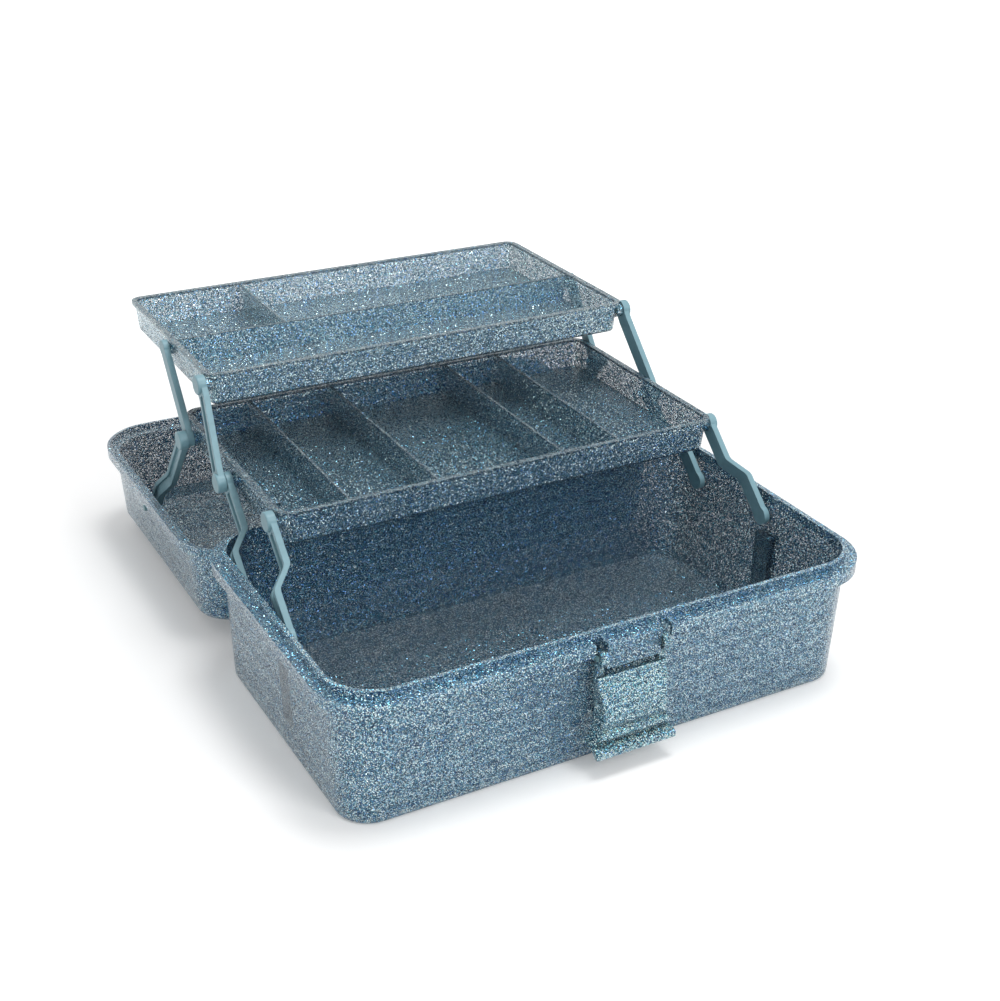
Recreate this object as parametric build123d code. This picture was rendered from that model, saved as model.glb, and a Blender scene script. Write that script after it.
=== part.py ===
from build123d import *
from math import cos, sin, radians
import os

# Craft caddy with two trays that lift out on side arms as the lid folds back.
# Frame: origin at the centre of the base's underside, X right along the length,
# Y from the front (latch) to the rear (hinge), Z up. The caddy is drawn open.

# Footprint and rims, mm
box_length = 330.0
box_depth = 198.0
rim_corner_radius = 34.0
rim_proud = 6.2
rim_thick = 2.0
skirt_thick = 1.84
skirt_height = 7.1
flange_top = 77.5
lip_height = 4.1

# Base tub
wall_thick = 2.4
floor_thick = 2.6
base_draft_x = 3.8
base_draft_y = 5.3
foot_edge_radius = 3.0
rib_y = -12.0
rib_width = 13.0
rib_proud = 3.0
rib_bottom = 20.0
rib_top = 57.0
pad_radius = 6.0
pad_height = 0.7
overrun = 1.0

# Lid, drawn folded back beside the base
lid_gap = 0.2
lid_height = 51.6
lid_wall_out = 0.7
lid_wall_thick = 2.3
lid_skirt_height = 6.1
lid_draft_x = 4.3
lid_draft_y = 3.2
lid_edge_radius = 3.0
lid_recess_depth = 5.0
lid_recess_inset = 9.0
lid_catch_width = 26.0
lid_catch_proud = 2.3
lid_catch_thick = 1.2

# Hinge
hinge_behind = 1.3
hinge_below = 7.0
hinge_x = 97.0
hinge_pin_radius = 1.5
knuckle_radius = 3.4
lid_knuckle_width = 17.0
base_knuckle_width = 8.0
hinge_side_gap = 0.4
leaf_thick = 2.8
leaf_drop = 3.2
hinge_slot_below = 2.0

# Trays
arm_space = 16.8
tray_wall = 1.8
tray_floor = 2.0
tray_draft = 2.0
tray_edge_radius = 2.2
bead_proud = 1.6
bead_height = 2.4
divider_thick = 1.6
divider_drop = 1.0
lower_front_set = 127.5
lower_rear_set = 85.0
lower_rim_above = 41.8
lower_depth = 20.5
lower_corner_radius = 8.0
lower_dividers = (-98.0, -44.6, 35.3, 73.3)
tab_behind = 16.8
tab_thick = 2.4
tab_proud = 3.0
tab_height = 9.0
tab_chamfer = 2.4
lug_radius = 3.5
lug_proud = 1.5
upper_front_set = 33.2
upper_short_of_box = 51.8
upper_rim_above = 40.7
upper_depth = 20.2
upper_corner_radius = 6.0
upper_front_bay = 65.0
upper_cross_divider = -66.2

# Linkage: where its pivots are in the base, tray and lid, and arm directions from +Y towards +Z
rear_pivot_inset = 42.5
rear_pivot_below = 13.5
front_pivot_inset = 90.5
front_pivot_below = 8.5
lower_arm_length = 64.0
lower_arm_angle = 43.0
upper_arm_length = 57.4
upper_arm_angle = 53.0
tray_pivot_inset = 16.7
tray_pivot_below = 11.6
lid_pivot_inset = 116.9
lid_pivot_below = 21.0

# Arms and their pins
arm_width = 9.4
arm_thick = 3.6
arm_knuckle_radius = 5.6
plain_arm_width = 7.8
plain_knuckle_radius = 4.6
knuckle_cap = 1.6
knuckle_edge_radius = 0.8
arm_bend_radius = 5.0
arm_groove_width = 4.4
arm_groove_depth = 1.3
boss_radius = 4.5
boss_gap = 0.3
layer_gap = 0.3
outer_layer_gap = 2.2
rear_jog = (21.5, 33.5)
front_jog = (25.5, 37.5)
lid_link_jog = (48.0, 60.0)
pin_radius = 2.0
pin_clearance = 0.06
pin_seat_clearance = 0.03
pin_depth = 3.5
pin_hole_extra = 0.1
pin_end_proud = 0.8
pin_skin = 0.8
pin_end_gap = 0.2
stub_radius = 3.0
stub_gap = 0.3
lid_boss_radius = 5.5

# Latch: forward means ahead of the rim's front face, and up means above the latch's foot
latch_pin_behind = 1.5
latch_pin_below = 9.0
latch_pin_radius = 1.6
latch_pin_end = 0.6
latch_block_half = 16.6
latch_block_proud = 0.8
latch_block_below = 15.2
latch_block_root = 2.0
latch_notch_half = 23.2
latch_notch_root = 0.4
latch_ear_gap = 0.4
latch_ear_thick = 4.0
latch_ear_radius = 4.6
latch_ear_front = 0.4
latch_back = 4.5
latch_flange = 2.0
latch_foot = 12.3
latch_height = 44.7
latch_plate = 2.2
latch_top_forward = -0.3
latch_knee_forward = 0.6
latch_knee_up = 40.2
latch_belly_forward = 4.9
latch_belly_up = 26.7
latch_tuck_forward = 4.5
latch_tuck_up = 14.2
latch_ridge_forward = 6.6
latch_ridge_up = 12.6
latch_ridge_height = 2.2
latch_groove_forward = 3.3
latch_groove_up = 8.2
latch_groove_height = 2.2
latch_lip_forward = 8.6
latch_lip_thick = 2.7
latch_lip_slope = 4.3
latch_shoulder_up = 38.7
latch_waist_up = 25.7
latch_waist_in = 1.6
latch_flare_up = 12.7
latch_flare_out = 3.6

# Carry handle: it hangs a little out of the recess of the upturned lid
handle_hang = 10.0
handle_span = 118.0
handle_reach = 46.0
handle_bar = 11.0
handle_thick = 5.4
handle_corner_radius = 14.0
handle_pivot_drop = 2.0
handle_peg_length = 5.0
handle_socket_width = 6.0
handle_socket_half = 5.0
handle_socket_low = 3.4
handle_offset = 16.0
handle_gap = 0.5
handle_edge_radius = 1.5
handle_inner_radius = 5.0

# Worked out from the sizes above
half_length = box_length / 2
half_depth = box_depth / 2
wall_half_x = half_length - rim_proud
wall_half_y = half_depth - rim_proud
inner_half_x = wall_half_x - wall_thick
wall_corner_radius = rim_corner_radius - rim_proud
lip_top = flange_top + lip_height
hinge_y = half_depth + hinge_behind
hinge_z = flange_top - hinge_below
lid_rim = 2 * hinge_z - flange_top - lid_gap
lid_under = lid_rim - lid_height
lid_near = 2 * hinge_y - half_depth
lid_far = lid_near + box_depth
lid_mid = (lid_near + lid_far) / 2
tray_half = inner_half_x - arm_space
inner_layer = tray_half + boss_gap
middle_layer = inner_layer + arm_thick + layer_gap
outer_layer = middle_layer + arm_thick + outer_layer_gap
plain_face = inner_layer + arm_thick
inner_face = plain_face + knuckle_cap
middle_face = middle_layer + arm_thick + knuckle_cap
peg_hole = pin_radius + pin_clearance
pin_seat = pin_radius + pin_seat_clearance
lower_front = lower_front_set - half_depth
lower_rear = half_depth + lower_rear_set
lower_rim = flange_top + lower_rim_above
upper_front = half_depth + upper_front_set
upper_rear = upper_front + box_depth - upper_short_of_box
upper_rim = lower_rim + upper_rim_above
upper_long_divider = upper_front + upper_front_bay
rear_base_pivot = (half_depth - rear_pivot_inset, flange_top - rear_pivot_below)
front_base_pivot = (front_pivot_inset - half_depth, flange_top - front_pivot_below)
tray_rear_pivot = (lower_rear - tray_pivot_inset, lower_rim - tray_pivot_below)
lid_pivot = (lid_near + lid_pivot_inset, lid_rim - lid_pivot_below)
latch_pin_y = latch_pin_behind - half_depth
latch_pin_z = flange_top - latch_pin_below
latch_ear_outside = latch_block_half + latch_ear_gap + latch_ear_thick


def along(point, length, angle):
    """The (Y, Z) point at a length and angle from another."""
    return (point[0] + length * cos(radians(angle)), point[1] + length * sin(radians(angle)))


tray_mid_pivot = along(rear_base_pivot, lower_arm_length, lower_arm_angle)
tray_front_pivot = along(front_base_pivot, lower_arm_length, lower_arm_angle)
upper_front_pivot = along(tray_mid_pivot, upper_arm_length, upper_arm_angle)
upper_rear_pivot = along(tray_rear_pivot, upper_arm_length, upper_arm_angle)


def outline(half_x, front, rear, radius, z):
    """A rounded rectangle at height z."""
    return Pos(0, (front + rear) / 2, z) * RectangleRounded(2 * half_x, rear - front, radius)


def prism(half_x, front, rear, radius, low, high):
    """A rounded rectangular block between two heights."""
    return extrude(outline(half_x, front, rear, radius, low), high - low)


def block(x0, x1, y0, y1, z0, z1):
    """A box between two corners."""
    size = (x1 - x0, y1 - y0, z1 - z0)
    return Pos((x0 + x1) / 2, (y0 + y1) / 2, (z0 + z1) / 2) * Box(*size)


def rod(point, radius, x0, x1):
    """A cylinder along X at a (Y, Z) point."""
    middle = (x0 + x1) / 2
    return Pos(middle, point[0], point[1]) * Rot(0, 90, 0) * Cylinder(radius, abs(x1 - x0))


def both_sides(solid):
    """A solid and its mirror image in the YZ plane."""
    return solid + mirror(solid, Plane.YZ)


def save(part, name):
    """Write one named piece."""
    part.label = name
    export_step(part, os.path.join("parts", name + ".step"))


def inner_at(z):
    """Half length of the base's cavity at height z."""
    return inner_half_x - base_draft_x * (flange_top - z) / flange_top


def tapered(half_x, front, rear, radius, z, taper_x, taper_y, taper_radius, z_small):
    """A block whose rounded outline shrinks from height z to z_small."""
    wide = outline(half_x, front, rear, radius, z)
    small_radius = radius - taper_radius
    small = outline(half_x - taper_x, front + taper_y, rear - taper_y, small_radius, z_small)
    return loft([wide, small]) if z < z_small else loft([small, wide])


def base_tub():
    """Tub with rim flange, skirt, lip, latch block and hinge knuckles."""
    taper_radius = base_draft_y + base_draft_x
    body = tapered(wall_half_x, -wall_half_y, wall_half_y, wall_corner_radius, flange_top,
                   base_draft_x, base_draft_y, taper_radius, 0)
    body = fillet(body.edges().group_by(Axis.Z)[0], foot_edge_radius)
    rim_low = flange_top - rim_thick
    body += prism(half_length, -half_depth, half_depth, rim_corner_radius, rim_low, flange_top)
    body += prism(wall_half_x, -wall_half_y, wall_half_y, wall_corner_radius, rim_low, lip_top)
    skirt = prism(half_length, -half_depth, half_depth, rim_corner_radius,
                  flange_top - skirt_height, flange_top)
    skirt -= prism(half_length - skirt_thick, skirt_thick - half_depth, half_depth - skirt_thick,
                   rim_corner_radius - skirt_thick, flange_top - skirt_height, flange_top)
    body += skirt
    body += block(-latch_block_half, latch_block_half, -half_depth - latch_block_proud,
                  latch_block_root - wall_half_y, flange_top - latch_block_below, flange_top)
    cavity_y = wall_half_y - wall_thick
    body -= tapered(inner_half_x, -cavity_y, cavity_y, wall_corner_radius - wall_thick,
                    flange_top, base_draft_x, base_draft_y, taper_radius, floor_thick)
    body -= prism(inner_half_x, -cavity_y, cavity_y, wall_corner_radius - wall_thick,
                  flange_top, lip_top)
    for side in (-1, 1):
        notch = sorted((side * latch_block_half, side * latch_notch_half))
        body -= block(*notch, -half_depth - overrun, -wall_half_y - latch_notch_root,
                      flange_top - skirt_height - overrun, flange_top + overrun)
    body -= rod((latch_pin_y, latch_pin_z), latch_pin_radius + pin_seat_clearance,
                -latch_block_half - overrun, latch_block_half + overrun)
    half_knuckle = lid_knuckle_width / 2 + hinge_side_gap
    gap_y = hinge_y - knuckle_radius - hinge_side_gap
    extras = Part()
    for pivot in (rear_base_pivot, front_base_pivot):
        extras += rod(pivot, pad_radius, pad_face(pivot), inner_at(pivot[1]) + wall_thick / 2)
    inside = inner_at(rib_bottom)
    extras += block(inside - rib_proud, inside + wall_thick / 2, rib_y - rib_width / 2,
                    rib_y + rib_width / 2, rib_bottom, rib_top)
    slot = block(hinge_x - half_knuckle, hinge_x + half_knuckle, gap_y, hinge_y + knuckle_radius,
                 flange_top - skirt_height - hinge_slot_below, flange_top + overrun)
    for near in (hinge_x - half_knuckle - base_knuckle_width, hinge_x + half_knuckle):
        far = near + base_knuckle_width
        extras += rod((hinge_y, hinge_z), knuckle_radius, near, far)
        extras += block(near, far, half_depth - skirt_thick, hinge_y, hinge_z, flange_top)
    body -= both_sides(slot)
    body += both_sides(extras)
    length = half_knuckle + base_knuckle_width
    bore = rod((hinge_y, hinge_z), hinge_pin_radius + pin_seat_clearance,
               hinge_x - length, hinge_x + length)
    return body - both_sides(bore)


def pad_face(pivot):
    """X of the flat pad that an arm's stub faces."""
    return inner_at(pivot[1]) - pad_height


def lid():
    """Lid with rim skirt, recessed panel, catch, hinge leaves and handle sockets."""
    ledge_top = lid_rim - lip_height - lid_gap
    ledge_low = lid_rim - lid_skirt_height
    near = lid_near + rim_proud - lid_wall_out
    far = lid_far - rim_proud + lid_wall_out
    half_x = wall_half_x + lid_wall_out
    taper_radius = lid_draft_x + lid_draft_y
    body = tapered(half_x, near, far, wall_corner_radius, ledge_top,
                   lid_draft_x, lid_draft_y, taper_radius, lid_under)
    body = fillet(body.edges().group_by(Axis.Z)[0], lid_edge_radius)
    body += prism(half_length, lid_near, lid_far, rim_corner_radius, ledge_low, lid_rim)
    body -= prism(half_length - skirt_thick, lid_near + skirt_thick, lid_far - skirt_thick,
                  rim_corner_radius - skirt_thick, ledge_top, lid_rim)
    skin = lid_wall_thick
    cavity = tapered(half_x - skin, near + skin, far - skin, wall_corner_radius - skin,
                     ledge_top, lid_draft_x, lid_draft_y, taper_radius, lid_under + skin)
    small_half = half_x - lid_draft_x - lid_recess_inset
    small_near = near + lid_draft_y + lid_recess_inset
    small_far = far - lid_draft_y - lid_recess_inset
    small_radius = wall_corner_radius - taper_radius - skin
    cavity -= prism(small_half + skin, small_near - skin, small_far + skin, small_radius + skin,
                    lid_under, lid_under + lid_recess_depth + skin)
    body -= cavity
    body -= prism(small_half, small_near, small_far, small_radius,
                  lid_under - overrun, lid_under + lid_recess_depth)
    body += block(-lid_catch_width / 2, lid_catch_width / 2, lid_far - skirt_thick / 2,
                  lid_far + lid_catch_proud, lid_rim - lid_catch_thick, lid_rim)
    leaf_half = lid_knuckle_width / 2
    leaf = rod((hinge_y, hinge_z), knuckle_radius, hinge_x - leaf_half, hinge_x + leaf_half)
    leaf += block(hinge_x - leaf_half, hinge_x + leaf_half, hinge_y + knuckle_radius - leaf_thick,
                  hinge_y + knuckle_radius, lid_rim - leaf_drop, hinge_z)
    leaf -= rod((hinge_y, hinge_z), hinge_pin_radius + pin_clearance,
                hinge_x - leaf_half - overrun, hinge_x + leaf_half + overrun)
    body += both_sides(leaf)
    wall_at_pivot = lid_inner_at(lid_pivot[1])
    boss = rod(lid_pivot, lid_boss_radius, lid_boss_face(), wall_at_pivot + skin / 2)
    socket_x = handle_span / 2 + handle_gap
    peg = handle_pivot()
    floor = lid_under + lid_recess_depth
    boss += block(socket_x, socket_x + handle_socket_width, peg[0] - handle_socket_half,
                  peg[0] + handle_socket_half, peg[1] - handle_socket_low, floor + skin / 2)
    body += both_sides(boss)
    holes = rod(lid_pivot, pin_seat, lid_boss_face() - overrun, half_length)
    holes += rod(peg, peg_hole, socket_x - overrun, socket_x + handle_socket_width + overrun)
    return body - both_sides(holes)


def lid_inner_at(z):
    """Half length of the lid's cavity at height z."""
    ledge_top = lid_rim - lip_height - lid_gap
    share = (ledge_top - z) / (ledge_top - lid_under)
    return wall_half_x + lid_wall_out - lid_wall_thick - lid_draft_x * share


def lid_boss_face():
    """X of the face that each lid link turns against."""
    return outer_layer + arm_thick + boss_gap


def handle_pivot():
    """(Y, Z) of the carry handle's axis."""
    return (lid_mid + handle_offset, lid_under + handle_pivot_drop)


def tray(half, front, rear, rim, depth, radius):
    """An open tray with a beaded rim."""
    outer = half - bead_proud
    low = rim - depth
    body = tapered(outer, front + bead_proud, rear - bead_proud, radius, rim,
                   tray_draft, tray_draft, tray_draft, low)
    body = fillet(body.edges().group_by(Axis.Z)[0], tray_edge_radius)
    body += prism(half, front, rear, radius + bead_proud, rim - bead_height, rim)
    inset = bead_proud + tray_wall
    body -= tapered(half - inset, front + inset, rear - inset, radius - tray_wall, rim,
                    tray_draft, tray_draft, tray_draft, low + tray_floor)
    return body


def tray_inner(half, front, rear, rim, depth, radius):
    """The space inside a tray, grown a little into its walls, for trimming dividers."""
    grow = bead_proud + tray_wall / 2
    return tapered(half - grow, front + grow, rear - grow, radius - tray_wall / 2, rim,
                   tray_draft, tray_draft, tray_draft, rim - depth + tray_floor / 2)


def pivot_bosses(pivots, root):
    """Round bosses for pins on both ends of a tray, as far out as its rim."""
    return both_sides(sum((rod(p, boss_radius, root, tray_half) for p in pivots), Part()))


def pin_holes(pivots):
    """Blind holes for pins in both ends of a tray."""
    bottom = tray_half - pin_depth - pin_hole_extra
    return both_sides(sum((rod(p, pin_seat, bottom, tray_half + overrun) for p in pivots), Part()))


def lower_tray():
    """Tray of five cross bays."""
    size = (tray_half, lower_front, lower_rear, lower_rim, lower_depth, lower_corner_radius)
    body = tray(*size)
    dividers = Part()
    for x in lower_dividers:
        dividers += block(x - divider_thick / 2, x + divider_thick / 2, lower_front, lower_rear,
                          lower_rim - lower_depth, lower_rim - divider_drop)
    body += dividers & tray_inner(*size)
    pivots = (tray_front_pivot, tray_mid_pivot, tray_rear_pivot)
    wall_x = tray_half - bead_proud - tray_draft
    body += pivot_bosses(pivots, wall_x)
    lug_face = wall_x - tray_wall - lug_proud
    body += both_sides(sum((rod(p, lug_radius, lug_face, wall_x) for p in pivots), Part()))
    return body + tab() - pin_holes(pivots)


def tab():
    """A small upright tab inside the left end of the lower tray, its top level with the rim."""
    wall_x = tray_half - bead_proud - tray_wall
    middle = lower_front + tab_behind
    body = block(-wall_x - tray_wall / 4, tab_proud - wall_x, middle - tab_thick / 2,
                 middle + tab_thick / 2, lower_rim - tab_height, lower_rim)
    return chamfer(body.edges().filter_by(Axis.Y).group_by(Axis.Z)[0].sort_by(Axis.X)[-1], tab_chamfer)


def upper_tray():
    """Tray with one long bay in front and two behind."""
    size = (tray_half, upper_front, upper_rear, upper_rim, upper_depth, upper_corner_radius)
    body = tray(*size)
    low, high = upper_rim - upper_depth, upper_rim - divider_drop
    half = divider_thick / 2
    dividers = block(-tray_half, tray_half, upper_long_divider - half,
                     upper_long_divider + half, low, high)
    dividers += block(upper_cross_divider - half, upper_cross_divider + half,
                      upper_long_divider, upper_rear, low, high)
    body += dividers & tray_inner(*size)
    pivots = (upper_front_pivot, upper_rear_pivot)
    body += pivot_bosses(pivots, tray_half - bead_proud - tray_draft)
    return body - pin_holes(pivots)


def pin(point, face):
    """One plain pin that stands in a tray's boss and ends blind behind a knuckle's face."""
    return rod(point, pin_radius, tray_half - pin_depth, face - pin_skin - pin_end_gap)


def pin_bore(point, face):
    """The bore for such a pin in the knuckles that turn on it."""
    return rod(point, peg_hole, inner_layer - overrun, face - pin_skin)


def lower_tray_pins():
    """Six pins, three on each end of the lower tray."""
    pins = pin(tray_front_pivot, inner_face)
    for point in (tray_mid_pivot, tray_rear_pivot):
        pins += pin(point, middle_face)
    return both_sides(pins)


def upper_tray_pins():
    """Four pins, two on each end of the upper tray."""
    return both_sides(pin(upper_front_pivot, inner_face) + pin(upper_rear_pivot, plain_face))


def lid_link_pins():
    """Two pins through the lid's end walls, which end blind in the links."""
    outside = lid_inner_at(lid_pivot[1]) + lid_wall_thick + pin_end_proud
    return both_sides(rod(lid_pivot, pin_radius, outer_layer + pin_skin + pin_end_gap, outside))


def bent_strip(stations, inner, outer):
    """A strip between two distances from a bent line, with round bends."""
    line = [(s, x + inner) for s, x in stations]
    back = [(s, x + outer) for s, x in reversed(stations)]
    strip = make_face(Polyline(*line, *back, close=True))
    ends = (stations[0][0], stations[-1][0])
    bends = [v for v in strip.vertices() if min(abs(v.X - s) for s in ends) > overrun / 2]
    return fillet(bends, arm_bend_radius) if stations[0][1] != stations[-1][1] else strip


def knuckle(radius, cap):
    """An arm's round end, thicker than the arm by its cap, whose edge is rounded."""
    thick = arm_thick + cap
    disc = Pos(0, thick / 2, 0) * Rot(90, 0, 0) * Cylinder(radius, thick)
    return fillet(disc.edges().group_by(Axis.Y)[-1], knuckle_edge_radius) if cap else disc


def bar(start, end, x_start, x_end, jog, caps=(0, 0), plain=False):
    """An arm from start to end that steps across between two distances, grooved unless plain."""
    low, high = jog
    span = ((end[0] - start[0]) ** 2 + (end[1] - start[1]) ** 2) ** 0.5
    width = plain_arm_width if plain else arm_width
    radius = plain_knuckle_radius if plain else arm_knuckle_radius
    middle = [(low, x_start), (high, x_end)]
    path = [(0, x_start), *middle, (span, x_end)]
    flat = extrude(bent_strip(path, 0, arm_thick), width / 2, both=True)
    if not plain:
        inset = radius + arm_groove_depth
        track = [(inset, x_start), *middle, (span - inset, x_end)]
        groove = bent_strip(track, arm_thick - arm_groove_depth, arm_thick + overrun)
        flat -= extrude(groove, arm_groove_width / 2, both=True)
    for s, x, cap in ((0, x_start, caps[0]), (span, x_end, caps[1])):
        flat += Pos(s, x, 0) * knuckle(radius, cap)
    along_y = ((end[0] - start[0]) / span, (end[1] - start[1]) / span)
    place = Plane(origin=(0, start[0], start[1]), x_dir=(0, *along_y),
                  z_dir=(0, -along_y[1], along_y[0]))
    turned = place * flat
    if turned.bounding_box().max.X < 0:
        turned = mirror(turned, Plane.YZ)
    return turned


def upper_rear_arm():
    """A straight plain arm in the inner layer."""
    body = bar(tray_rear_pivot, upper_rear_pivot, inner_layer, inner_layer,
               (upper_arm_length / 3, upper_arm_length / 2), plain=True)
    return body - pin_bore(tray_rear_pivot, middle_face) - pin_bore(upper_rear_pivot, plain_face)


def upper_front_arm():
    """An arm that leans from the middle layer at its foot to the inner layer at its head."""
    ends = arm_knuckle_radius + 2 * overrun
    body = bar(tray_mid_pivot, upper_front_pivot, middle_layer, inner_layer,
               (ends, upper_arm_length - ends), (knuckle_cap, knuckle_cap))
    return body - pin_bore(tray_mid_pivot, middle_face) - pin_bore(upper_front_pivot, inner_face)


def lower_arm(start, end, jog, face, cap):
    """A stepped arm whose base end is a stub that faces the pad on the wall."""
    body = bar(start, end, outer_layer, inner_layer, jog, (0, cap)) - pin_bore(end, face)
    return body + rod(start, stub_radius, outer_layer + arm_thick, pad_face(start) - stub_gap)


def lid_link():
    """The link from the lid to the rear of the lower tray."""
    body = bar(tray_rear_pivot, lid_pivot, middle_layer, outer_layer, lid_link_jog,
               (knuckle_cap, 0))
    body -= pin_bore(tray_rear_pivot, middle_face)
    return body - rod(lid_pivot, peg_hole, outer_layer + pin_skin,
                      outer_layer + arm_thick + overrun)


def hinge_pin():
    """One plain hinge pin, as long as its knuckles."""
    half = lid_knuckle_width / 2 + hinge_side_gap + base_knuckle_width
    return rod((hinge_y, hinge_z), hinge_pin_radius, hinge_x - half, hinge_x + half)


def latch_point(forward, up):
    """(Y, Z) of a point given ahead of the rim's front face and above the latch's foot."""
    return (-half_depth - forward, latch_foot + up)


def latch_side(behind, low):
    """The latch's front line seen from the side, from its top down to its groove."""
    top = latch_point(latch_top_forward - behind, latch_height + low)
    knee = latch_point(latch_knee_forward - behind, latch_knee_up)
    belly = latch_point(latch_belly_forward - behind, latch_belly_up)
    tuck = latch_point(latch_tuck_forward - behind, latch_tuck_up)
    return Line(top, knee) + ThreePointArc(knee, belly, tuck)


def latch_solid_side():
    """The latch's outer side view."""
    ridge_low = latch_ridge_up - latch_ridge_height
    groove_low = latch_groove_up - latch_groove_height
    back = latch_back
    points = (
        (latch_tuck_forward, latch_tuck_up),
        (latch_ridge_forward, latch_ridge_up),
        (latch_ridge_forward, ridge_low),
        (latch_groove_forward, latch_groove_up),
        (latch_groove_forward, groove_low),
        (latch_lip_forward, latch_lip_thick),
        (latch_lip_forward, 0),
        (latch_lip_forward - latch_plate, 0),
        (latch_groove_forward - latch_plate / 2, latch_lip_slope),
        (-back, latch_lip_slope),
        (-back, latch_height),
        (latch_top_forward, latch_height),
    )
    return make_face(latch_side(0, 0) + Polyline(*(latch_point(*p) for p in points)))


def latch_hollow_side():
    """The space behind the latch's plate, seen from the side."""
    back = latch_back + overrun
    inner = latch_groove_forward - latch_plate / 2
    floor = latch_lip_slope - latch_plate / 2
    points = (
        (latch_tuck_forward - latch_plate, latch_tuck_up),
        (inner, latch_groove_up),
        (inner, floor),
        (-back, floor),
        (-back, latch_height + overrun),
        (latch_top_forward - latch_plate, latch_height + overrun),
    )
    line = latch_side(latch_plate, overrun)
    return make_face(line + Polyline(*(latch_point(*p) for p in points)))


def latch_face(inset):
    """The latch's outline seen from the front."""
    top = latch_ear_outside - inset
    waist = top - latch_waist_in
    wide = top + latch_flare_out
    shoulder = latch_foot + latch_shoulder_up
    middle = latch_foot + latch_waist_up
    flare = latch_foot + latch_flare_up
    head = latch_foot + latch_height
    right = Line((top, head), (top, shoulder))
    right += ThreePointArc((top, shoulder), (waist, middle), (top, flare))
    right += Polyline((top, flare), (wide, latch_foot + latch_lip_slope), (wide, latch_foot),
                      (0, latch_foot))
    left = mirror(right, Plane.YZ)
    return make_face(right + left + Line((top, head), (-top, head)))


def latch():
    """Curved pull plate with side flanges, finger lip and two pivot ears."""
    wide = latch_ear_outside + latch_flare_out
    plan = Plane(origin=(0, -half_depth, 0), x_dir=(1, 0, 0), z_dir=(0, -1, 0))
    reach = latch_lip_forward + latch_back
    outer = extrude(plan * latch_face(0), reach, both=True)
    inner = extrude(plan * latch_face(latch_flange), reach, both=True)
    side = Plane(origin=(0, 0, 0), x_dir=(0, 1, 0), z_dir=(1, 0, 0))
    body = extrude(side * latch_solid_side(), wide, both=True) & outer
    body -= extrude(side * latch_hollow_side(), wide, both=True) & inner
    ear_in = latch_block_half + latch_ear_gap
    pivot = (latch_pin_y, latch_pin_z)
    ear = rod(pivot, latch_ear_radius, ear_in, latch_ear_outside)
    ear += block(ear_in, latch_ear_outside, latch_pin_y - latch_ear_front,
                 latch_back - half_depth, latch_foot + latch_knee_up, latch_pin_z)
    body += both_sides(ear)
    return body - both_sides(rod(pivot, latch_pin_radius + pin_clearance, 0, wide))


def latch_pin():
    """The pin that the latch turns on."""
    reach = latch_ear_outside + latch_pin_end
    return rod((latch_pin_y, latch_pin_z), latch_pin_radius, -reach, reach)


def carry_handle():
    """A bail on two pegs, turned out of the lid's recess by the angle that it hangs at."""
    peg = handle_pivot()
    half = handle_span / 2
    near = peg[0] - handle_reach
    low, high = peg[1] - handle_thick / 2, peg[1] + handle_thick / 2
    past = peg[0] + handle_reach
    body = prism(half, near, past, handle_corner_radius, low, high)
    body -= prism(half - handle_bar, near + handle_bar, past, handle_inner_radius, low, high)
    body -= block(-half, half, peg[0], past, low, high)
    layers = body.edges().group_by(Axis.Z)
    body = fillet(layers[0] + layers[-1], handle_edge_radius)
    ends = rod(peg, handle_thick / 2, half - handle_bar, half)
    ends += rod(peg, pin_radius, half - overrun, half + handle_gap + handle_peg_length)
    body += both_sides(ends)
    return Pos(0, *peg) * Rot(handle_hang, 0, 0) * Pos(0, -peg[0], -peg[1]) * body


def main():
    """Write every piece."""
    os.makedirs("parts", exist_ok=True)
    save(base_tub(), "base_tub")
    save(lid(), "lid")
    save(lower_tray(), "lower_tray")
    save(upper_tray(), "upper_tray")
    save(lower_tray_pins(), "lower_tray_pins")
    save(upper_tray_pins(), "upper_tray_pins")
    save(lid_link_pins(), "lid_link_pins")
    save(latch(), "latch")
    save(latch_pin(), "latch_pin")
    save(carry_handle(), "carry_handle")
    arms = {
        "lower_rear_arm": lower_arm(rear_base_pivot, tray_mid_pivot, rear_jog, middle_face, 0),
        "lower_front_arm": lower_arm(front_base_pivot, tray_front_pivot, front_jog, inner_face,
                                     knuckle_cap),
        "upper_front_arm": upper_front_arm(),
        "upper_rear_arm": upper_rear_arm(),
        "lid_link": lid_link(),
        "hinge_pin": hinge_pin(),
    }
    for name, piece in arms.items():
        save(piece, name + "_right")
        save(mirror(piece, Plane.YZ), name + "_left")


main()
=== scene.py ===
import math

import bpy
from mathutils import Matrix, Vector

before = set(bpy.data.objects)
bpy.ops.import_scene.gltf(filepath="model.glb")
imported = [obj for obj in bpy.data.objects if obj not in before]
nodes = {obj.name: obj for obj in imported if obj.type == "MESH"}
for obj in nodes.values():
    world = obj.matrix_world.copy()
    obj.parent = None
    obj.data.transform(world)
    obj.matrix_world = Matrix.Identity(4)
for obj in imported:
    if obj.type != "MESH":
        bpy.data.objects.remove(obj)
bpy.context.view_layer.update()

# The camera stands where the photograph was taken from: metres, degrees and millimetres
camera_place = (-0.39662, -0.65326, 0.49495)
camera_yaw = 29.68
camera_pitch = 26.80
camera_roll = 1.20
camera_lens = 56.09
sensor_width = 36.0

# The floor glows more with distance from the object, so that it ends in white
floor_size = 14.0
floor_colour = (0.84, 0.84, 0.84)
floor_roughness = 0.9
glow_reach = (0.30, 1.00)
glow_strengths = (0.17, 0.70)

# The sky's light grows from the horizon up
sky_colour = (1.0, 1.0, 1.0)
sky_strengths = (0.16, 0.85)

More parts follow.
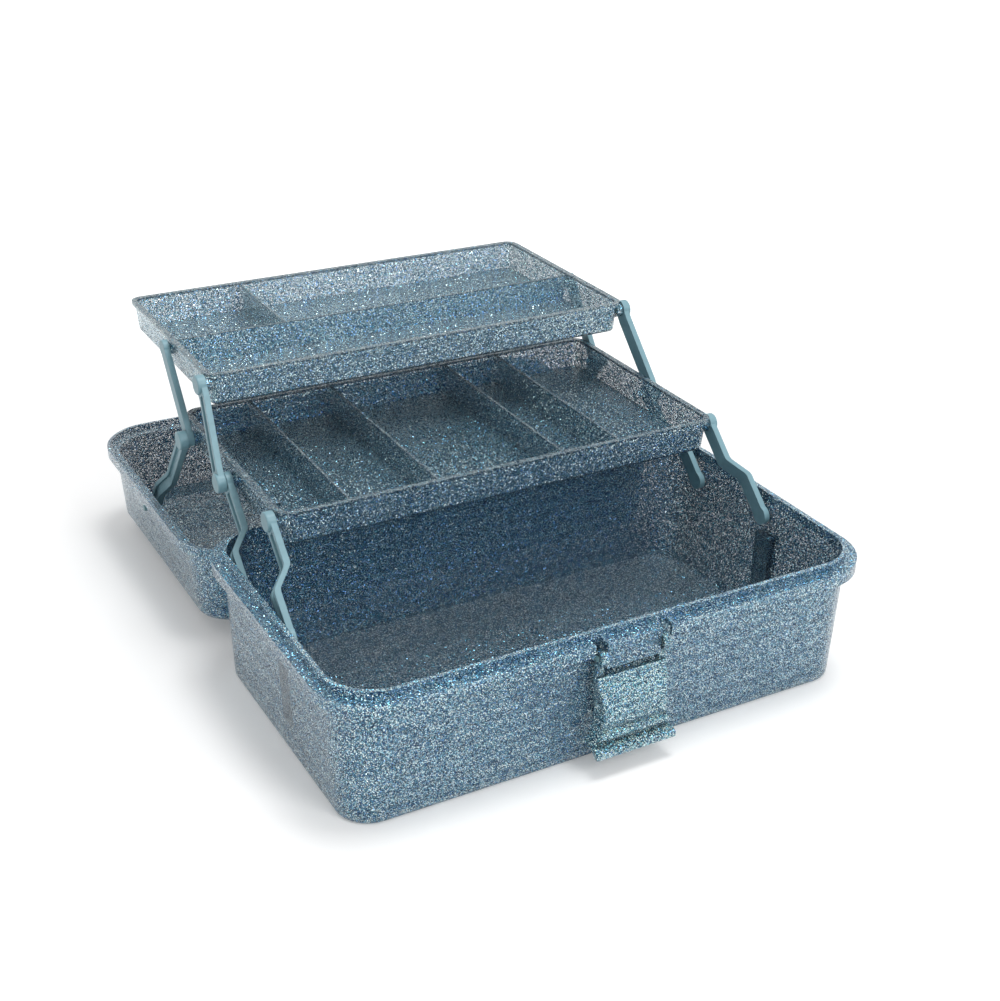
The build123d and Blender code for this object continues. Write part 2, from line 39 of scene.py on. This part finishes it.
# Place, width and power of each lamp
overhead_lamp = ((0.25, -0.10, 2.2), 0.75, 21.0)
front_lamp = ((0.5, -1.7, 1.5), 0.85, 16.5)
lamp_aim = (0.0, 0.03, 0.06)

# Glitter plastic: small flat flecks from dark to bright in a clear blue resin
resin_colour = (0.012, 0.052, 0.110)
fleck_steps = (
    (0.00, (0.006, 0.034, 0.090)),
    (0.38, (0.045, 0.165, 0.305)),
    (0.60, (0.160, 0.365, 0.530)),
    (0.78, (0.440, 0.720, 0.870)),
    (0.88, (0.860, 1.000, 1.000)),
)
fleck_hues = (0.450, 0.532)
fleck_tilt = 1.05
fleck_roughness = 0.11
fleck_metal = 0.75
mean_cell_colour = (0.5, 0.5, 0.5)

# Two sizes of fleck: how wide their cells are and how far from its centre each fleck reaches
coarse_size = 0.00066
coarse_reach = 0.46
coarse_share = 0.30
coarse_lift = 0.30
fine_size = 0.00042
fine_reach = 0.66

# How far each finish is lifted towards the bright flecks. The upper tray is the same plastic as
# the lower tray, lifted more as painted light.
body_lift = 0.01
lower_tray_lift = 0.09
upper_tray_painted_light_lift = 0.25
latch_lift = 0.08

# Share of fine cells that are clear, and how opaque they and the bare resin are
tub_windows = 0.20
lid_windows = 0.35
tray_windows = 0.37
latch_windows = 0.10
window_alpha = 0.15
resin_alpha = 0.80

# Clear coat over the flecks
body_coat = 0.45
tray_coat = 0.10
coat_roughness = 0.12

# Where the plastic is too thick to see through: the tub's ribs and rim, and the trays' edges. The
# ribs and the trays' edges are also darkened there with painted shade; the rim keeps its colour.
rib_centre = (0.158, -0.012, 0.0385)
rib_half = (0.012, 0.0067, 0.0187)
rib_painted_shade = 0.45
rim_height = 0.0060
rim_shade = 1.0
tray_lip_height = 0.0014
tray_foot_height = 0.0016
# Painted shade on the trays' top and bottom edges
tray_edge_painted_shade = 0.50
slab_half_width = 1.0
slab_margin = 0.0001

# The latch is a little greener, and its hollows are darkened with painted shade
latch_tint = (1.00, 1.07, 0.99)
hollow_reach = 0.005
hollow_power = 1.6
hollow_samples = 8

# Opaque plastic of arms, links and pins
arm_colour = (0.190, 0.340, 0.395)
pin_colour = (0.180, 0.340, 0.370)
plain_roughness = 0.42
mottle_scale = 260.0
mottle_darkest = 0.88
mottle_lightest = 1.12
soft_edge_radius = 0.0006
soft_edge_samples = 6

# A Mix node's colour sockets share their names with its other sockets, so they go by number
mix_first = 6
mix_second = 7
mix_result = 2


def material(name):
    """A new node material, its tree and its Principled shader."""
    made = bpy.data.materials.new(name)
    made.use_nodes = True
    tree = made.node_tree
    return made, tree, tree.nodes["Principled BSDF"]


def node(tree, kind, **settings):
    """A new shader node with some of its settings."""
    made = tree.nodes.new(kind)
    for key, value in settings.items():
        setattr(made, key, value)
    return made


def feed(tree, slot, value):
    """Give an input socket its value, or a link where the value is another socket."""
    if isinstance(value, bpy.types.NodeSocket):
        tree.links.new(value, slot)
    else:
        slot.default_value = value


def opaque(colour):
    """The colour with full alpha, as colour sockets take it."""
    return (*colour, 1.0)


def math_node(tree, operation, first, second):
    """A Math node of two inputs, each a socket or a number."""
    made = node(tree, "ShaderNodeMath", operation=operation)
    feed(tree, made.inputs[0], first)
    feed(tree, made.inputs[1], second)
    return made.outputs[0]


def vector_node(tree, operation, **inputs):
    """A Vector Math node with its inputs by number (in0, in1) or by name."""
    made = node(tree, "ShaderNodeVectorMath", operation=operation)
    for key, value in inputs.items():
        slot = made.inputs[int(key[2:])] if key[2:].isdigit() else made.inputs[key]
        feed(tree, slot, value)
    return made


def colour_mix(tree, share, first, second, blend_type="MIX"):
    """A mix of two colours, each a socket or a value, and the share of the second."""
    made = node(tree, "ShaderNodeMix", data_type="RGBA", blend_type=blend_type)
    feed(tree, made.inputs["Factor"], share)
    feed(tree, made.inputs[mix_first], first)
    feed(tree, made.inputs[mix_second], second)
    return made.outputs[mix_result]


def map_range(tree, value, target, source=(0.0, 1.0), interpolation="LINEAR"):
    """A value carried over from one range to another."""
    made = node(tree, "ShaderNodeMapRange", interpolation_type=interpolation)
    feed(tree, made.inputs["Value"], value)
    made.inputs["From Min"].default_value, made.inputs["From Max"].default_value = source
    made.inputs["To Min"].default_value, made.inputs["To Max"].default_value = target
    return made.outputs["Result"]


def ramp(tree, value, steps):
    """A colour ramp with flat steps."""
    made = node(tree, "ShaderNodeValToRGB")
    made.color_ramp.interpolation = "CONSTANT"
    elements = made.color_ramp.elements
    while len(elements) < len(steps):
        elements.new(1.0)
    for element, (position, colour) in zip(elements, steps):
        element.position = position
        element.color = opaque(colour)
    feed(tree, made.inputs["Fac"], value)
    return made.outputs["Color"]


def object_place(tree):
    """The place on the piece, which rides with it when it moves."""
    return node(tree, "ShaderNodeTexCoord").outputs["Object"]


def flecks(tree, size, place):
    """Cells of one size: random colour, its channels and the distance from the centre."""
    cells = node(tree, "ShaderNodeTexVoronoi", feature="F1", voronoi_dimensions="3D")
    feed(tree, cells.inputs["Scale"], 1 / size)
    feed(tree, cells.inputs["Vector"], place)
    channels = node(tree, "ShaderNodeSeparateColor")
    feed(tree, channels.inputs[0], cells.outputs["Color"])
    return cells.outputs["Color"], channels.outputs, cells.outputs["Distance"]


def slab(name, height, shade, at_top=True):
    """A box over the top or the foot of a node, as centre, half size and painted shade."""
    levels = [corner[2] for corner in nodes[name].bound_box]
    middle = max(levels) - height / 2 if at_top else min(levels) + height / 2
    half = (slab_half_width, slab_half_width, height / 2 + slab_margin)
    return (0.0, 0.0, middle), half, shade


def thick_and_shaded_places(tree, place, boxes):
    """1 inside any of the boxes, which mirror about the middle plane, and the painted shade there.
    """
    axes = node(tree, "ShaderNodeSeparateXYZ")
    feed(tree, axes.inputs[0], place)
    across = math_node(tree, "ABSOLUTE", axes.outputs["X"], 0.0)
    mirrored = (across, axes.outputs["Y"], axes.outputs["Z"])
    found = 0.0
    light = 1.0
    for centre, half, shade in boxes:
        inside = 1.0
        for value, middle, reach in zip(mirrored, centre, half):
            away = math_node(tree, "SUBTRACT", value, middle)
            away = math_node(tree, "ABSOLUTE", away, 0.0)
            near = math_node(tree, "LESS_THAN", away, reach)
            inside = math_node(tree, "MULTIPLY", near, inside)
        found = math_node(tree, "MAXIMUM", inside, found)
        loss = math_node(tree, "MULTIPLY", inside, 1.0 - shade)
        light = math_node(tree, "MULTIPLY", math_node(tree, "SUBTRACT", 1.0, loss), light)
    return found, light


def painted_hollow_shade(tree):
    """Painted shade: less than 1 in narrow hollows."""
    open_share = node(tree, "ShaderNodeAmbientOcclusion", samples=hollow_samples)
    feed(tree, open_share.inputs["Distance"], hollow_reach)
    return math_node(tree, "POWER", open_share.outputs["AO"], hollow_power)


def tilted_normal(tree, cell_colour):
    """The surface's normal, turned at random from cell to cell."""
    centred = vector_node(tree, "SUBTRACT", in0=cell_colour, in1=mean_cell_colour)
    scaled = vector_node(tree, "SCALE", in0=centred.outputs[0], Scale=fleck_tilt)
    surface = node(tree, "ShaderNodeNewGeometry")
    tilted = vector_node(tree, "ADD", in0=surface.outputs["Normal"], in1=scaled.outputs[0])
    return vector_node(tree, "NORMALIZE", in0=tilted.outputs[0]).outputs[0]


def glitter_plastic(name, lift, windows, coat, tint=(1.0, 1.0, 1.0), thick_and_shaded=(), hollows=False):
    """Clear blue resin full of tilted metal flecks, brighter with lift and tinted."""
    made, tree, shader = material(name)
    place = object_place(tree)
    coarse_colour, coarse, coarse_distance = flecks(tree, coarse_size, place)
    fine_colour, fine, fine_distance = flecks(tree, fine_size, place)

    # A coarse fleck shows in some cells, near the centre, over a bed of fine ones
    near = math_node(tree, "LESS_THAN", coarse_distance, coarse_reach)
    chosen = math_node(tree, "LESS_THAN", coarse["Green"], coarse_share)
    on_top = math_node(tree, "MULTIPLY", near, chosen)
    top_tone = math_node(tree, "ADD", coarse["Red"], lift + coarse_lift)
    bed_tone = math_node(tree, "ADD", fine["Red"], lift)
    top_colour = ramp(tree, top_tone, fleck_steps)
    bed_colour = ramp(tree, bed_tone, fleck_steps)
    fleck_colour = colour_mix(tree, on_top, bed_colour, top_colour)

    # Between the flecks the resin shows
    bed_here = math_node(tree, "LESS_THAN", fine_distance, fine_reach)
    any_fleck = math_node(tree, "MAXIMUM", on_top, bed_here)
    colour = colour_mix(tree, any_fleck, opaque(resin_colour), fleck_colour)

    # The hue changes a little from cell to cell
    turned = node(tree, "ShaderNodeHueSaturation")
    feed(tree, turned.inputs["Hue"], map_range(tree, fine["Blue"], fleck_hues))
    feed(tree, turned.inputs["Color"], colour)
    colour = colour_mix(tree, 1.0, turned.outputs["Color"], opaque(tint), "MULTIPLY")
    # Painted shade: the thick places and the hollows are darkened
    if thick_and_shaded:
        thick, shade = thick_and_shaded_places(tree, place, thick_and_shaded)
        colour = colour_mix(tree, 1.0, colour, shade, "MULTIPLY")
    if hollows:
        colour = colour_mix(tree, 1.0, colour, painted_hollow_shade(tree), "MULTIPLY")
    feed(tree, shader.inputs["Base Color"], colour)

    # Each fleck lies at its own tilt
    cell_colour = colour_mix(tree, on_top, fine_colour, coarse_colour)
    feed(tree, shader.inputs["Normal"], tilted_normal(tree, cell_colour))

    # Some fine cells are nearly clear, except under coarse flecks and where the plastic is thick
    closed = math_node(tree, "GREATER_THAN", fine["Green"], windows)
    closed = math_node(tree, "MAXIMUM", closed, on_top)
    closed = math_node(tree, "MAXIMUM", closed, window_alpha)
    if thick_and_shaded:
        closed = math_node(tree, "MAXIMUM", closed, thick)
    filled = map_range(tree, any_fleck, (resin_alpha, 1.0))
    feed(tree, shader.inputs["Alpha"], math_node(tree, "MULTIPLY", filled, closed))
    feed(tree, shader.inputs["Metallic"], math_node(tree, "MULTIPLY", any_fleck, fleck_metal))
    feed(tree, shader.inputs["Roughness"], fleck_roughness)
    feed(tree, shader.inputs["Coat Weight"], coat)
    feed(tree, shader.inputs["Coat Roughness"], coat_roughness)
    return made


def plain_plastic(name, colour):
    """Opaque moulded plastic with a faint mottle."""
    made, tree, shader = material(name)
    mottle = node(tree, "ShaderNodeTexNoise")
    feed(tree, mottle.inputs["Scale"], mottle_scale)
    feed(tree, mottle.inputs["Vector"], object_place(tree))
    dark = opaque(mottle_darkest * part for part in colour)
    light = opaque(mottle_lightest * part for part in colour)
    mixed = colour_mix(tree, mottle.outputs["Fac"], dark, light)
    feed(tree, shader.inputs["Base Color"], mixed)
    soft_edge = node(tree, "ShaderNodeBevel", samples=soft_edge_samples)
    feed(tree, soft_edge.inputs["Radius"], soft_edge_radius)
    feed(tree, shader.inputs["Normal"], soft_edge.outputs[0])
    feed(tree, shader.inputs["Roughness"], plain_roughness)
    return made


def dress():
    """Give every CAD node its finish."""
    tub_thick_and_shaded = [(rib_centre, rib_half, rib_painted_shade), slab("base_tub", rim_height, rim_shade)]
    tray_thick_and_shaded = []
    for tray in ("lower_tray", "upper_tray"):
        tray_thick_and_shaded.append(slab(tray, tray_lip_height, tray_edge_painted_shade))
        tray_thick_and_shaded.append(slab(tray, tray_foot_height, tray_edge_painted_shade, at_top=False))
    thick = glitter_plastic("thick glitter plastic", body_lift, lid_windows, body_coat)
    own_finish = {
        "base_tub": glitter_plastic("tub glitter plastic", body_lift, tub_windows, body_coat,
                                    thick_and_shaded=tub_thick_and_shaded),
        "lower_tray": glitter_plastic("thin glitter plastic", lower_tray_lift, tray_windows,
                                      tray_coat, thick_and_shaded=tray_thick_and_shaded),
        # The upper tray's paler finish is painted light
        "upper_tray": glitter_plastic("glitter plastic with painted light", upper_tray_painted_light_lift, tray_windows,
                                      tray_coat, thick_and_shaded=tray_thick_and_shaded),
        "latch": glitter_plastic("bright glitter plastic", latch_lift, latch_windows, body_coat,
                                 tint=latch_tint, hollows=True),
    }
    arm = plain_plastic("arm plastic", arm_colour)
    pin = plain_plastic("pin plastic", pin_colour)
    for name, obj in nodes.items():
        if "pin" in name:
            finish = pin
        elif "arm" in name or "link" in name:
            finish = arm
        else:
            finish = own_finish.get(name, thick)
        obj.data.materials.clear()
        obj.data.materials.append(finish)


def camera():
    """The photograph's viewpoint."""
    yaw, pitch, roll = (math.radians(a) for a in (camera_yaw, camera_pitch, camera_roll))
    along = math.cos(pitch)
    ahead = Vector((math.sin(yaw) * along, math.cos(yaw) * along, -math.sin(pitch)))
    level = Vector((math.cos(yaw), -math.sin(yaw), 0.0))
    upright = level.cross(ahead)
    right = math.cos(roll) * level + math.sin(roll) * upright
    up = math.cos(roll) * upright - math.sin(roll) * level
    data = bpy.data.cameras.new("camera")
    data.lens = camera_lens
    data.sensor_width = sensor_width
    data.sensor_fit = "HORIZONTAL"
    obj = bpy.data.objects.new("camera", data)
    turn = Matrix((right, up, -ahead)).transposed().to_4x4()
    obj.matrix_world = Matrix.Translation(camera_place) @ turn
    bpy.context.scene.collection.objects.link(obj)
    bpy.context.scene.camera = obj


def lamp(name, place, size, power):
    """A square soft lamp that points at the object."""
    data = bpy.data.lights.new(name, "AREA")
    data.shape = "SQUARE"
    data.size = size
    data.energy = power
    obj = bpy.data.objects.new(name, data)
    obj.location = place
    aim = Vector(lamp_aim) - Vector(place)
    obj.rotation_euler = aim.to_track_quat("-Z", "Y").to_euler()
    bpy.context.scene.collection.objects.link(obj)


def seen_rays(tree):
    """1 for what the camera sees straight, in a reflection or through clear plastic."""
    path = node(tree, "ShaderNodeLightPath")
    seen = math_node(tree, "MAXIMUM", path.outputs["Is Camera Ray"], path.outputs["Is Glossy Ray"])
    return math_node(tree, "MAXIMUM", seen, path.outputs["Is Transmission Ray"])


def floor():
    """A plain pale floor, level with the object's foot."""
    half = floor_size / 2
    corners = [(-half, -half, 0), (half, -half, 0), (half, half, 0), (-half, half, 0)]
    mesh = bpy.data.meshes.new("floor")
    mesh.from_pydata(corners, [], [(0, 1, 2, 3)])
    obj = bpy.data.objects.new("floor", mesh)
    made, tree, shader = material("floor")
    feed(tree, shader.inputs["Base Color"], opaque(floor_colour))
    feed(tree, shader.inputs["Roughness"], floor_roughness)
    away = vector_node(tree, "LENGTH", in0=object_place(tree)).outputs["Value"]
    grown = map_range(tree, away, glow_strengths, glow_reach, "SMOOTHSTEP")
    glow = node(tree, "ShaderNodeEmission")
    feed(tree, glow.inputs["Strength"], math_node(tree, "MULTIPLY", seen_rays(tree), grown))
    both = node(tree, "ShaderNodeAddShader")
    feed(tree, both.inputs[0], shader.outputs[0])
    feed(tree, both.inputs[1], glow.outputs[0])
    feed(tree, tree.nodes["Material Output"].inputs["Surface"], both.outputs[0])
    mesh.materials.append(made)
    bpy.context.scene.collection.objects.link(obj)


def sky():
    """Light that grows from the horizon up, and plain white where the sky itself is seen."""
    world = bpy.data.worlds.new("sky")
    bpy.context.scene.world = world
    world.use_nodes = True
    tree = world.node_tree
    light = tree.nodes["Background"]
    feed(tree, light.inputs["Color"], opaque(sky_colour))
    way = node(tree, "ShaderNodeSeparateXYZ")
    feed(tree, way.inputs[0], node(tree, "ShaderNodeTexCoord").outputs["Generated"])
    feed(tree, light.inputs["Strength"], map_range(tree, way.outputs["Z"], sky_strengths))
    white = node(tree, "ShaderNodeBackground")
    feed(tree, white.inputs["Color"], opaque(sky_colour))
    mixed = node(tree, "ShaderNodeMixShader")
    feed(tree, mixed.inputs[0], seen_rays(tree))
    feed(tree, mixed.inputs[1], light.outputs[0])
    feed(tree, mixed.inputs[2], white.outputs[0])
    feed(tree, tree.nodes["World Output"].inputs["Surface"], mixed.outputs[0])


camera()
sky()
floor()
lamp("overhead lamp", *overhead_lamp)
lamp("front lamp", *front_lamp)
dress()
bpy.context.scene.view_settings.view_transform = "Standard"
